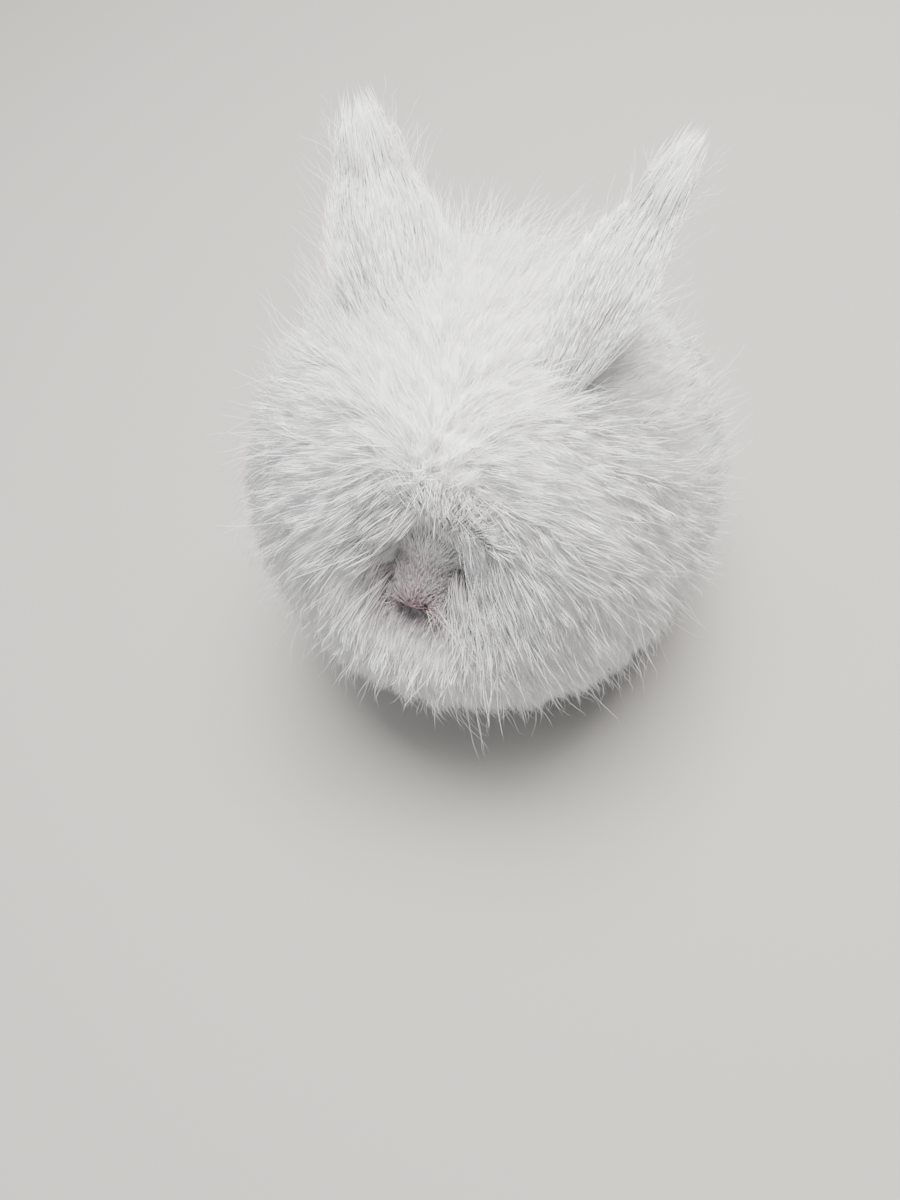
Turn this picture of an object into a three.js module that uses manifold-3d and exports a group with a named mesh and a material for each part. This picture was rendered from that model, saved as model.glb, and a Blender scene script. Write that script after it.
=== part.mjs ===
// A long-haired rabbit crouching on the ground, life size, as separate solids.
// Millimetres, +Z up. The rabbit faces -Y, so +X is its left side.
import * as THREE from 'three';
import { mergeVertices } from 'three/addons/utils/BufferGeometryUtils.js';
import Module from 'manifold-3d';

const wasm = await Module();
wasm.setup();

const vec = (x, y, z) => new THREE.Vector3(x, y, z);

// Driving dimensions
const coatRadius = 128; // the round coat as it shows from the front and from above
const rumpReach = 160; // how far the coat of the rump reaches behind the middle of that ball
const rumpHalfWidth = 118;
const rumpHalfHeight = 101;
const lockScatter = 0.16; // how far a lock's root strays from even spacing, as a share of the radius
const rootDepth = 7; // how far a lock's root is sunk into the underwool
const skirt = { halfWidth: 108, halfLength: 118, halfHeight: 62, midY: 22, midZ: 30 }; // wool down to the ground
const bodySkin = { halfWidth: 76, halfLength: 98, halfHeight: 80, midY: 30, midZ: 106 };
const coreShare = 0.5; // the packed underwool, as a share of the way from the skin to the tips
const floorGap = 1.5; // wool clears the ground by this much, so that only the feet carry
const jointGap = 0.3; // between touching pieces
const headShift = 13.6; // the head sits a little to its left
const headTurn = THREE.MathUtils.degToRad(-6.5); // and is turned a little to its right
const noseTip = vec(0, -88.6, 160);
const headMiddle = vec(0, -38, 172);
const noseDip = THREE.MathUtils.degToRad(20); // the muzzle points this far below level
const eyeRadius = 7.6;
const eyeMiddle = vec(19, -53.4, 177.6);
const earRoot = vec(26, -18, 200);
const earTip = vec(66, 46, 277); // end of the leather, without its tuft
const earWidth = 44;
const earLeather = 2.4;
const earTuft = 20; // how far the tuft reaches past the leather
const neckAxis = vec(0, -1, 1).normalize();
const neckParts = 106; // where the neck begins, measured from the origin along neckAxis
const neckRadius = 34; // of the neck under its wool
const earPartsAt = 0.3; // share of the ear's length that is rooted in the wool of the head
const headRoomAt = { forward: 180, upward: 102 }; // middle of the space that the woolly head fills
const headRoomRadii = { across: 104, upward: 74, forward: 60 };
const whorl = vec(0, -58, 206); // on the forehead, where the wool parts
const tailMiddle = vec(0, 128, 70);
const tailRadius = 36; // of the tuft out to its tips
const pawWidth = 22;
const frontPaw = vec(30, -54, 8);
const hindPaw = vec(50, -6, 9);
const frontFootLength = 34;
const hindFootLength = 88;
const clawLength = 8;

// Shapes grown round a middle point
const gridStep = 0.002;

function swelling(at, radii, tilt = 0) {
  return { at, radii, turn: new THREE.Matrix4().makeRotationX(-tilt) };
}

function distanceTo(swellings, point, melt) {
  let sum = 0;
  for (const { at, radii, turn } of swellings) {
    const local = point.clone().sub(at).applyMatrix4(turn).divide(radii);
    const thin = Math.min(radii.x, radii.y, radii.z);
    sum += Math.exp(-((local.length() - 1) * thin) / melt);
  }
  return -melt * Math.log(sum / 2);
}

// Distance from a middle point to the outermost skin of the melted swellings
function reach(swellings, middle, direction, melt) {
  const step = 4;
  let far = 240;
  const at = (r) => distanceTo(swellings, middle.clone().addScaledVector(direction, r), melt);
  while (far > step && at(far - step) > 0) far -= step;
  let near = far - step;
  for (let i = 0; i < 12; i++) {
    const half = (near + far) / 2;
    if (at(half) > 0) far = half;
    else near = half;
  }
  return (near + far) / 2;
}

function grown(middle, detail, reachOf) {
  const shape = new THREE.IcosahedronGeometry(1, detail);
  const position = shape.attributes.position;
  const way = vec();
  for (let i = 0; i < position.count; i++) {
    way.fromBufferAttribute(position, i).normalize();
    const r = reachOf(way);
    position.setXYZ(i, middle.x + way.x * r, middle.y + way.y * r, middle.z + way.z * r);
  }
  return shape;
}

function egg(at, radii, detail, tilt = 0) {
  const shape = new THREE.IcosahedronGeometry(1, detail);
  shape.scale(radii.x, radii.y, radii.z);
  shape.rotateX(tilt);
  shape.translate(at.x, at.y, at.z);
  return shape;
}

// Solids to join and cut
function solidOf(geometry) {
  const bare = geometry.clone();
  bare.deleteAttribute('normal');
  bare.deleteAttribute('uv');
  const merged = mergeVertices(bare, 1e-4);
  const mesh = new wasm.Mesh({
    numProp: 3,
    vertProperties: new Float32Array(merged.attributes.position.array),
    triVerts: new Uint32Array(merged.index.array),
  });
  return new wasm.Manifold(mesh);
}

const joined = (solids) => solids.reduce((all, one) => all.add(one));

// The same solid with its corners on a fine grid, so that no two lie closer than that
function onGrid(solid) {
  const { vertProperties, triVerts } = solid.getMesh();
  const places = new Map();
  const points = [];
  const corner = (v) => {
    const at = [0, 1, 2].map((axis) => Math.round(vertProperties[3 * v + axis] / gridStep));
    const key = at.join();
    if (!places.has(key)) {
      places.set(key, points.length / 3);
      points.push(...at.map((steps) => steps * gridStep));
    }
    return places.get(key);
  };
  const faces = [];
  for (let i = 0; i < triVerts.length; i += 3) {
    const [a, b, c] = [0, 1, 2].map((k) => corner(triVerts[i + k]));
    if (a !== b && b !== c && c !== a) faces.push(a, b, c);
  }
  const mesh = new wasm.Mesh({
    numProp: 3,
    vertProperties: new Float32Array(points),
    triVerts: new Uint32Array(faces),
  });
  return new wasm.Manifold(mesh);
}

// The largest closed surface: it leaves out loose scraps and fills sealed hollows
function largest(solid) {
  let parts = solid.decompose();
  let best;
  do {
    best = onGrid(parts.reduce((most, part) => (part.volume() > most.volume() ? part : most)));
    parts = best.decompose();
  } while (parts.length > 1);
  return best;
}

function geometryOf(solid) {
  const { vertProperties, triVerts } = solid.getMesh();
  const geometry = new THREE.BufferGeometry();
  geometry.setAttribute('position', new THREE.BufferAttribute(vertProperties, 3));
  geometry.setIndex(new THREE.BufferAttribute(triVerts, 1));
  geometry.computeVertexNormals();
  return geometry;
}

// The space on the far side of a plane, as a solid slab to cut away
function slabBehind(plane) {
  const size = 900;
  const slab = new THREE.BoxGeometry(size, size, size);
  slab.translate(0, 0, -size / 2);
  const turn = new THREE.Quaternion().setFromUnitVectors(vec(0, 0, 1), plane.normal);
  slab.applyQuaternion(turn);
  slab.translate(...plane.coplanarPoint(vec()).toArray());
  return solidOf(slab);
}

const inCell = (solid, planes) =>
  planes.reduce((left, plane) => left.subtract(slabBehind(plane)), solid);

// A closed strip of rings with equal numbers of points
function loft(rings) {
  const count = rings[0].length;
  const points = rings.flat();
  const index = [];
  for (let r = 0; r + 1 < rings.length; r++) {
    for (let i = 0; i < count; i++) {
      const a = r * count + i;
      const b = r * count + ((i + 1) % count);
      index.push(a, b, a + count, b, b + count, a + count);
    }
  }
  const last = (rings.length - 1) * count;
  for (let i = 0; i + 1 < count / 2; i++) {
    const j = count - 1 - i;
    index.push(i, j, i + 1, i + 1, j, j - 1);
    index.push(last + i, last + i + 1, last + j, last + i + 1, last + j - 1, last + j);
  }
  const geometry = new THREE.BufferGeometry();
  geometry.setAttribute('position', new THREE.Float32BufferAttribute(points.flatMap((p) => p.toArray()), 3));
  geometry.setIndex(index);
  return geometry;
}

// A flat lock along a curve: rings of four points, widest near its root, closing to a tip
const lockRings = [0, 0.34, 0.7];
const lockFullness = [0.5, 1, 0.68];

function lock(curve, out, width, thickness, rings = lockRings, fullness = lockFullness) {
  const points = [];
  const across = vec().crossVectors(curve.getPoint(1).sub(curve.getPoint(0)), out).normalize();
  rings.forEach((t, k) => {
    const at = curve.getPoint(t);
    const along = curve.getTangent(t);
    const side = across.clone().addScaledVector(along, -across.dot(along)).normalize();
    const up = vec().crossVectors(side, along).normalize();
    const half = (width / 2) * fullness[k];
    const deep = (thickness / 2) * fullness[k];
    points.push(at.clone().addScaledVector(side, half), at.clone().addScaledVector(up, deep));
    points.push(at.clone().addScaledVector(side, -half), at.clone().addScaledVector(up, -deep));
  });
  points.push(curve.getPoint(1));
  const index = [0, 1, 2, 0, 2, 3];
  const last = points.length - 1;
  for (let k = 0; k < rings.length; k++) {
    for (let i = 0; i < 4; i++) {
      const a = 4 * k + i;
      const b = 4 * k + ((i + 1) % 4);
      if (k + 1 < rings.length) index.push(a, a + 4, b, b, a + 4, b + 4);
      else index.push(a, last, b);
    }
  }
  const geometry = new THREE.BufferGeometry();
  geometry.setAttribute('position', new THREE.Float32BufferAttribute(points.flatMap((p) => p.toArray()), 3));
  geometry.setIndex(index);
  return geometry;
}

function randomFrom(seed) {
  let state = seed;
  return () => {
    state = (state + 0x6d2b79f5) | 0;
    let t = Math.imul(state ^ (state >>> 15), 1 | state);
    t = (t + Math.imul(t ^ (t >>> 7), 61 | t)) ^ t;
    return ((t ^ (t >>> 14)) >>> 0) / 4294967296;
  };
}

// Directions spread evenly round a point
function evenDirections(count) {
  const golden = Math.PI * (3 - Math.sqrt(5));
  return Array.from({ length: count }, (_, i) => {
    const z = 1 - (2 * i + 1) / count;
    const flat = Math.sqrt(1 - z * z);
    return vec(flat * Math.cos(golden * i), flat * Math.sin(golden * i), z);
  });
}

// Pushes a point to the allowed side of each plane
function kept(point, planes, margin) {
  for (let pass = 0; pass < 3; pass++) {
    for (const plane of planes) {
      const short = margin - plane.distanceToPoint(point);
      if (short > 0) point.addScaledVector(plane.normal, short);
    }
  }
  return point;
}

// Locks of one region: roots on its core, tips on the outside of the coat, both seen from a middle point
function locksOf({ middle, count, seed, core, tips, lie, planes = [], here, width, run, thickness }) {
  const random = randomFrom(seed);
  const locks = [];
  for (const spread of evenDirections(count)) {
    const jitter = vec(random() - 0.5, random() - 0.5, random() - 0.5).multiplyScalar(lockScatter);
    const way = spread.add(jitter).normalize();
    const [longer, fuller, swaying] = [random(), random(), random()];
    const root = way.clone().multiplyScalar(core(way)).add(middle);
    const flow = lie(root, way);
    flow.addScaledVector(way, -flow.dot(way)).normalize();
    const length = run(way) * (0.8 + 0.4 * longer);
    const tipWay = root.clone().addScaledVector(flow, length).sub(middle).normalize();
    const tip = tipWay.clone().multiplyScalar(tips(tipWay) * (0.965 + 0.05 * fuller)).add(middle);
    kept(tip, planes, 0.6 * thickness);
    if (!here(root, tip, way)) continue;
    const rise = 0.5 * tip.distanceTo(root);
    const sway = vec().crossVectors(flow, way).multiplyScalar((swaying - 0.5) * 0.3 * length);
    const bend = root.clone().addScaledVector(way, rise).add(sway);
    kept(bend, planes, 0.6 * thickness);
    const sunk = root.clone().addScaledVector(way, -rootDepth);
    const curve = new THREE.QuadraticBezierCurve3(sunk, bend, tip);
    locks.push(solidOf(lock(curve, way, width * (0.85 + 0.3 * swaying), thickness)));
  }
  return locks;
}

// Dividing planes, and round rooms in the coat that hold a piece; each side keeps half the gap
const half = jointGap / 2;
const ground = new THREE.Plane(vec(0, 0, 1), 0);
const woolGround = new THREE.Plane(vec(0, 0, 1), -floorGap);
const torsoFront = new THREE.Plane(neckAxis.clone().negate(), neckParts - half);
const neckBack = new THREE.Plane(neckAxis.clone(), -neckParts - half);
const cutBy = (solid, cutters) => cutters.reduce((left, cutter) => left.subtract(cutter), solid);

function room(at, radii, turn, extra, detail = 3) {
  const shape = new THREE.IcosahedronGeometry(1, detail);
  shape.scale(radii.x + extra, radii.y + extra, radii.z + extra);
  shape.applyQuaternion(turn);
  shape.translate(at.x, at.y, at.z);
  return solidOf(shape);
}

function mirrored(solid) {
  const geometry = geometryOf(solid);
  geometry.scale(-1, 1, 1);
  const index = geometry.index.array;
  for (let i = 0; i < index.length; i += 3) [index[i], index[i + 1]] = [index[i + 1], index[i]];
  return solidOf(geometry);
}

function moved(solid, frame) {
  const geometry = geometryOf(solid);
  geometry.applyMatrix4(frame);
  return solidOf(geometry);
}

// Body: skin, outside of the coat, and the packed underwool between them
const torsoMiddle = vec(0, 35, 105);
const bodyShape = [
  swelling(
    vec(0, bodySkin.midY, bodySkin.midZ),
    vec(bodySkin.halfWidth, bodySkin.halfLength, bodySkin.halfHeight),
  ),
];
const rumpMiddleY = 38;
const ballMiddle = vec(0, 0, coatRadius - 2);
const coatShape = [
  swelling(ballMiddle, vec(coatRadius, coatRadius, coatRadius)),
  swelling(vec(0, rumpMiddleY, rumpHalfHeight), vec(rumpHalfWidth, rumpReach - rumpMiddleY, rumpHalfHeight)),
  swelling(vec(0, skirt.midY, skirt.midZ), vec(skirt.halfWidth, skirt.halfLength, skirt.halfHeight)),
];
const aboveGround = (middle, way) => (way.z < 0 ? (middle.z - floorGap) / -way.z : Infinity);
const coatTips = (way, middle = torsoMiddle) =>
  Math.min(reach(coatShape, middle, way, 3), aboveGround(middle, way));
const coatCore = (way) => {
  const skin = reach(bodyShape, torsoMiddle, way, 3);
  return skin + coreShare * (coatTips(way) - skin);
};

function toeEgg(at, radii) {
  const shape = new THREE.SphereGeometry(1, 6, 4);
  shape.scale(radii.x, radii.y, radii.z);
  shape.translate(at.x, at.y, at.z);
  return shape;
}

// Legs: a limb and a foot on flat soles, with toes and claws
function legShape(side, front, extra) {
  const paw = front ? frontPaw : hindPaw;
  const footLength = front ? frontFootLength : hindFootLength;
  const height = front ? 15 : 17;
  const limbTop = front ? vec(27, -46, 54) : vec(52, 34, 52);
  const limbRadii = front ? vec(13, 15, 42) : vec(24, 42, 38);
  const foot = vec(pawWidth / 2, footLength / 2, height);
  const parts = [
    egg(limbTop, limbRadii.addScalar(extra), 1, front ? -0.3 : 0.35),
    egg(vec(paw.x, paw.y + footLength * 0.06, height * 0.4), foot.addScalar(extra), 2),
  ];
  for (const toe of [-1.5, -0.5, 0.5, 1.5]) {
    const x = paw.x + toe * pawWidth * 0.23;
    const tipY = paw.y - footLength / 2 + Math.abs(toe);
    parts.push(toeEgg(vec(x, tipY, 4.4), vec(2.35, 8, 5).addScalar(extra / 2)));
    if (extra) continue;
    const from = vec(x, tipY - 4, 4.6);
    const tip = vec(x, tipY - 4 - clawLength, 1.2);
    const bend = vec(x, tipY - 4 - clawLength * 0.6, 5.2);
    const curve = new THREE.QuadraticBezierCurve3(from, bend, tip);
    parts.push(lock(curve, vec(0, 0, 1), 2.6, 2.8, [0, 0.5], [1, 0.7]));
  }
  const whole = joined(parts.map(solidOf));
  const onGround = extra ? whole : inCell(whole, [ground]);
  return side < 0 ? mirrored(onGround) : onGround;
}

const legs = {};
const legRooms = [];
for (const [name, side, front] of [
  ['front_leg_left', 1, true],
  ['front_leg_right', -1, true],
  ['hind_leg_left', 1, false],
  ['hind_leg_right', -1, false],
]) {
  legs[name] = largest(legShape(side, front, 0));
  legRooms.push(legShape(side, front, jointGap));
}

// Head: skull, cheeks, muzzle and chin under short fur, with underwool behind the eyes
const headShape = [
  swelling(vec(0, -36, 178), vec(29, 41, 27), noseDip),
  swelling(vec(12, -46, 166), vec(19, 27, 22), noseDip),
  swelling(vec(-12, -46, 166), vec(19, 27, 22), noseDip),
  swelling(vec(0, -68, 164), vec(15, 20, 13.5), noseDip),
  swelling(vec(6.5, -78, 159), vec(8.5, 9.5, 8)),
  swelling(vec(-6.5, -78, 159), vec(8.5, 9.5, 8)),
  swelling(vec(0, noseTip.y + 8, noseTip.z + 1.5), vec(7.5, 8, 7)),
  swelling(vec(0, -68, 148), vec(8, 13, 7), noseDip),
];
const headFrame = new THREE.Matrix4().makeRotationZ(headTurn).setPosition(headShift, 0, 0);
const toHead = headFrame.clone().invert();
const headCoat = [
  swelling(ballMiddle.clone().applyMatrix4(toHead), vec(coatRadius, coatRadius, coatRadius)),
];
// The room of the head: its height runs along neckAxis, its depth from chin to crown
const crownAxis = vec(0, 1, 1).normalize();
const headRoomMiddle = vec(0, 0, 0)
  .addScaledVector(neckAxis, headRoomAt.forward)
  .addScaledVector(crownAxis, headRoomAt.upward);
const headRoomTurn = new THREE.Quaternion().setFromUnitVectors(vec(0, 0, 1), neckAxis);
const headRoom = (extra) =>
  room(headRoomMiddle, vec(headRoomRadii.across, headRoomRadii.upward, headRoomRadii.forward), headRoomTurn, extra, 4);
const faceAxis = noseTip.clone().sub(headMiddle).normalize();
const headWall = [
  {
    at: headRoomMiddle,
    radii: vec(headRoomRadii.across, headRoomRadii.upward, headRoomRadii.forward),
    turn: new THREE.Matrix4().makeRotationFromQuaternion(headRoomTurn.clone().invert()),
  },
];
const headTips = (way) =>
  Math.min(reach(headCoat, headMiddle, way, 3), reach(headWall, headMiddle, way, 1) - 1);
const headSkin = (way) => reach(headShape, headMiddle, way, 2.5);
const smooth = THREE.MathUtils.smoothstep;
const offFaceAngle = (way) => THREE.MathUtils.radToDeg(way.angleTo(faceAxis));
const headCore = (way) => {
  const skin = headSkin(way);
  return skin + coreShare * smooth(offFaceAngle(way), 80, 110) * (headTips(way) - skin);
};

// Ear: a leather cup that opens outward and down, its furred back to the front, on a solid root
const earLine = new THREE.QuadraticBezierCurve3(earRoot, vec(50, 20, 244), earTip);
const earDirection = earTip.clone().sub(earRoot).normalize();
const earOpening = vec(0.6, 0.43, -0.67);
earOpening.addScaledVector(earDirection, -earOpening.dot(earDirection)).normalize();
const earAcross = vec().crossVectors(earDirection, earOpening).normalize();
const earWidths = new THREE.CatmullRomCurve3(
  [[0, 0.36], [0.2, 0.62], [0.42, 0.98], [0.6, 1], [0.8, 0.74], [0.93, 0.4], [1, 0.14]].map(
    ([t, w]) => vec(t, w, 0),
  ),
);
const earCup = (t) => (earWidth / 2) * earWidths.getPoint(t).y * (0.72 - 0.3 * t);

function earLeaf() {
  const rows = 9;
  const columns = 3;
  const rings = [];
  for (let r = 0; r <= rows; r++) {
    const t = r / rows;
    const wide = (earWidth / 2) * earWidths.getPoint(t).y;
    const cup = earCup(t);
    const solidRoot = cup * 1.7 * (1 - smooth(t, 0.16, 0.4));
    const middle = earLine.getPoint(t);
    const outer = [];
    const inner = [];
    for (let c = -columns; c <= columns; c++) {
      const s = c / columns;
      const bow = 1 - s * s;
      const back = middle.clone().addScaledVector(earAcross, wide * s).addScaledVector(earOpening, -cup * bow);
      outer.push(back);
      const thick = earLeather * (0.45 + 0.55 * bow) + solidRoot * bow;
      inner.unshift(back.clone().addScaledVector(earOpening, thick));
    }
    rings.push([...outer, ...inner].reverse());
  }
  return solidOf(loft(rings));
}

// Tufts along the back and edges of an ear, past its tip
function earTufts(seed) {
  const random = randomFrom(seed);
  const tufts = [];
  for (const [t, count, run] of [[0.5, 2, 42], [0.72, 2, 38], [0.92, 2, 28]]) {
    const middle = earLine.getPoint(t);
    const wide = (earWidth / 2) * earWidths.getPoint(t).y;
    for (let k = 0; k < count; k++) {
      const s = (2 * k) / (count - 1) - 1;
      const root = middle.clone().addScaledVector(earAcross, wide * s * 0.8);
      root.addScaledVector(earOpening, -earCup(t) * (1 - 0.64 * s * s) + 1.2);
      const out = earAcross.clone().multiplyScalar(s).addScaledVector(earOpening, Math.abs(s) - 1).normalize();
      const tip = root.clone().addScaledVector(earDirection, run * (0.85 + 0.3 * random()));
      tip.addScaledVector(out, 4 + 5 * random()).add(vec(0, 0, -4 * random()));
      const bend = root.clone().lerp(tip, 0.5).addScaledVector(out, 7);
      const curve = new THREE.QuadraticBezierCurve3(root, bend, tip);
      tufts.push(solidOf(lock(curve, out, 17, 4.5, [0, 0.4, 0.75], [0.8, 1, 0.6])));
    }
  }
  return tufts;
}

const earRoomTurn = new THREE.Quaternion().setFromUnitVectors(vec(0, 0, 1), earDirection);
const earLength = earTip.distanceTo(earRoot);
const earRoomLength = earLength * (1 - earPartsAt) + earTuft;
const earRoomMiddle = earRoot.clone().addScaledVector(earDirection, earLength * earPartsAt + earRoomLength / 2);
const earRoom = (extra) => room(earRoomMiddle, vec(29, 29, earRoomLength / 2 + 4), earRoomTurn, extra);
const wholeEar = earLeaf();
const earLeft = largest(joined([wholeEar, ...earTufts(41)]).intersect(earRoom(-half)));
const earRight = mirrored(largest(joined([wholeEar, ...earTufts(43)]).intersect(earRoom(-half))));
const earRooms = [earRoom(half), mirrored(earRoom(half))];

// Lids, nostrils and the line of the mouth
function lidRing(side) {
  const ring = new THREE.TorusGeometry(eyeRadius * 0.92, 1.7, 4, 12);
  ring.scale(1, 0.8, 1);
  const outward = vec(side, -0.3, 0.14).normalize();
  ring.applyQuaternion(new THREE.Quaternion().setFromUnitVectors(vec(0, 0, 1), outward));
  ring.translate(...eyeAt(side).addScaledVector(outward, eyeRadius * 0.5).toArray());
  return solidOf(ring);
}

function eyeAt(side) {
  return vec(side * eyeMiddle.x, eyeMiddle.y, eyeMiddle.z);
}

function onFace(x, z) {
  const aim = vec(x, noseTip.y, z).sub(headMiddle).normalize();
  return headMiddle.clone().addScaledVector(aim, headSkin(aim));
}

function groove(points, width, depth) {
  const curve = new THREE.CatmullRomCurve3(points.map(([x, z]) => onFace(x, z)));
  return solidOf(lock(curve, vec(0, -1, 0), width, depth, [0, 0.25, 0.5, 0.75], [0.6, 1, 1, 0.8]));
}

function nostril(side) {
  const slit = egg(vec(0, 0, 0), vec(3, 3.2, 1), 1);
  slit.rotateY(side * 0.6);
  slit.translate(...onFace(side * 4.4, 161.5).toArray());
  return solidOf(slit);
}

const faceCuts = [groove([[0, 160], [0, 155], [0, 151], [0, 147]], 1.6, 4)];
for (const side of [-1, 1]) {
  faceCuts.push(groove([[0, 151], [side * 5, 148], [side * 11, 147], [side * 17, 150]], 1.4, 4));
  faceCuts.push(nostril(side));
  faceCuts.push(solidOf(egg(eyeAt(side), vec(1, 1, 1).multiplyScalar(eyeRadius + jointGap), 2)));
}

// The wool of the head spreads from a whorl on the forehead, and leaves the muzzle bare
const headLocks = locksOf({
  middle: headMiddle,
  count: 44,
  seed: 7,
  core: headCore,
  tips: headTips,
  lie: (root) => root.clone().sub(whorl).normalize().add(vec(0, -0.1, -0.35)),
  here: (root, tip, way) => offFaceAngle(way) > 44 && distanceTo(headWall, root, 1) < -4,
  width: 34,
  run: (way) => 12 + 38 * smooth(offFaceAngle(way), 60, 120),
  thickness: 9,
});
const headWhole = joined([
  solidOf(grown(headMiddle, 7, headCore)),
  wholeEar,
  mirrored(wholeEar),
  lidRing(1),
  lidRing(-1),
  ...headLocks,
]);
const head = largest(cutBy(headWhole.intersect(headRoom(-half)), [...faceCuts, ...earRooms]));

// Tail: a tuft pressed against the rump, in a hollow of the coat
const tailTurn = new THREE.Quaternion();
const tailRoom = (extra) => room(tailMiddle, vec(1, 1.15, 1.1).multiplyScalar(tailRadius), tailTurn, extra);
const tailCore = tailRadius * 0.62;
const tailLocks = locksOf({
  middle: tailMiddle,
  count: 10,
  seed: 3,
  core: () => tailCore,
  tips: () => tailRadius,
  lie: () => vec(0, 0.6, 0.7),
  here: (root, tip, way) => way.y > -0.2,
  width: 20,
  run: () => 20,
  thickness: 7,
});
const tailWhole = joined([solidOf(egg(tailMiddle, vec(1, 1.1, 1).multiplyScalar(tailCore), 2)), ...tailLocks]);
const tail = largest(tailWhole.intersect(tailRoom(-half)));

// Torso and neck, the neck with the wool of the throat and breast
const rooms = [headRoom(half), ...earRooms].map((solid) => moved(solid, headFrame));
const torsoLocks = locksOf({
  middle: torsoMiddle,
  count: 70,
  seed: 11,
  core: coatCore,
  tips: coatTips,
  lie: (root) =>
    root.y < -30 ? vec(0.2 * Math.sign(root.x), -0.15, -1) : vec(0.2 * Math.sign(root.x), 0.75, -0.5),
  planes: [torsoFront, woolGround],
  here: (root, tip, way) =>
    way.z > -0.86 && torsoFront.distanceToPoint(root) > 3 && root.distanceTo(tailMiddle) > tailRadius,
  width: 56,
  run: () => 60,
  thickness: 10,
});
const bodyCore = solidOf(grown(torsoMiddle, 5, coatCore));
const torsoWhole = inCell(joined([bodyCore, ...torsoLocks]), [torsoFront, woolGround]);
const torso = largest(cutBy(torsoWhole, [...legRooms, tailRoom(half), ...rooms]));

const neckMiddle = ballMiddle.clone().addScaledVector(neckAxis, neckParts + 12 - ballMiddle.dot(neckAxis));
const neckTips = (way) => coatTips(way, neckMiddle);
const neckCore = (way) => neckRadius + coreShare * (neckTips(way) - neckRadius);
const neckLocks = locksOf({
  middle: neckMiddle,
  count: 64,
  seed: 5,
  core: neckCore,
  tips: neckTips,
  lie: (root, way) => vec(0.5 * way.x, -0.1, -1),
  planes: [neckBack, woolGround],
  here: (root, tip) => {
    const local = tip.clone().applyMatrix4(toHead);
    return neckBack.distanceToPoint(root) > 3 && distanceTo(headWall, local, 1) > 2;
  },
  width: 38,
  run: (way) => 6 + 24 * smooth(-way.z, 0.1, 0.8),
  thickness: 9,
});
const neckWhole = inCell(joined([solidOf(grown(neckMiddle, 5, neckCore)), ...neckLocks]), [neckBack, woolGround]);
const neck = largest(cutBy(neckWhole, [...legRooms, ...rooms]));

// Assembly
const wool = new THREE.MeshStandardMaterial({ color: 0xf1efec, roughness: 0.95, metalness: 0 });
const earSkin = new THREE.MeshStandardMaterial({ color: 0xe7c3bb, roughness: 0.8, metalness: 0 });
const footFur = new THREE.MeshStandardMaterial({ color: 0xece8e2, roughness: 0.9, metalness: 0 });
const wetEye = new THREE.MeshStandardMaterial({ color: 0x4a1c1c, roughness: 0.1, metalness: 0 });

function piece(name, solid, material) {
  const mesh = new THREE.Mesh(geometryOf(solid), material);
  mesh.name = name;
  return mesh;
}

const headGroup = new THREE.Group();
headGroup.position.x = headShift;
headGroup.rotation.z = headTurn;
headGroup.add(piece('head', head, wool));
headGroup.add(piece('ear_left', earLeft, earSkin), piece('ear_right', earRight, earSkin));
for (const [name, side] of [['eye_left', 1], ['eye_right', -1]]) {
  const ball = solidOf(egg(eyeAt(side), vec(1, 1, 1).multiplyScalar(eyeRadius), 2));
  headGroup.add(piece(name, ball, wetEye));
}
const rabbit = new THREE.Group();
rabbit.add(headGroup, piece('neck', neck, wool), piece('torso', torso, wool), piece('tail', tail, wool));
for (const [name, solid] of Object.entries(legs)) rabbit.add(piece(name, solid, footFur));

// The origin is under the middle of the whole, on the ground
const whole = new THREE.Box3().setFromObject(rabbit);
rabbit.position.set(-(whole.min.x + whole.max.x) / 2, -(whole.min.y + whole.max.y) / 2, -whole.min.z);

export default rabbit;
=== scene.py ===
import math

import bpy
import numpy as np
from mathutils import Matrix, Vector
from mathutils.bvhtree import BVHTree
from mathutils.kdtree import KDTree


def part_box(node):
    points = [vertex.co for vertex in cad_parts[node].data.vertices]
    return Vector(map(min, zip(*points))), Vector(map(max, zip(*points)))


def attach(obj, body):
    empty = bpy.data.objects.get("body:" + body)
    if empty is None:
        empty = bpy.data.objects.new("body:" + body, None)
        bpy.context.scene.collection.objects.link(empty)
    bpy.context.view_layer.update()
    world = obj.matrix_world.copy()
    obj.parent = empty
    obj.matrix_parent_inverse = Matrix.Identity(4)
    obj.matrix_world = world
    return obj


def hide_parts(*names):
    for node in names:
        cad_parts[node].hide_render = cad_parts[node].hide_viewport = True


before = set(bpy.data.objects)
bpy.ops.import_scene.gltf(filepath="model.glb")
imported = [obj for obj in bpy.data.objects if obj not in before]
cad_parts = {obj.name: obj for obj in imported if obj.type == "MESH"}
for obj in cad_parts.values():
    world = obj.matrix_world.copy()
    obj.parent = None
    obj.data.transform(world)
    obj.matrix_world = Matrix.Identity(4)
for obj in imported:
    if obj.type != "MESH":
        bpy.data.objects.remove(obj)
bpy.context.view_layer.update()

mm = 0.001
random = np.random.default_rng(4177)


# Small helpers

def srgb(hexColour, alpha=1.0):
    parts = [int(hexColour[i:i + 2], 16) / 255 for i in (1, 3, 5)]
    return [p / 12.92 if p <= 0.04045 else ((p + 0.055) / 1.055) ** 2.4 for p in parts] + [alpha]


def addNode(material, kind, links=None, **settings):
    node = material.node_tree.nodes.new(kind)
    for key, value in settings.items():
        setattr(node, key, value)
    for socket, value in (links or {}).items():
        target = node.inputs[socket]
        if isinstance(value, bpy.types.NodeSocket):
            material.node_tree.links.new(value, target)
        else:
            target.default_value = value
    return node


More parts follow.
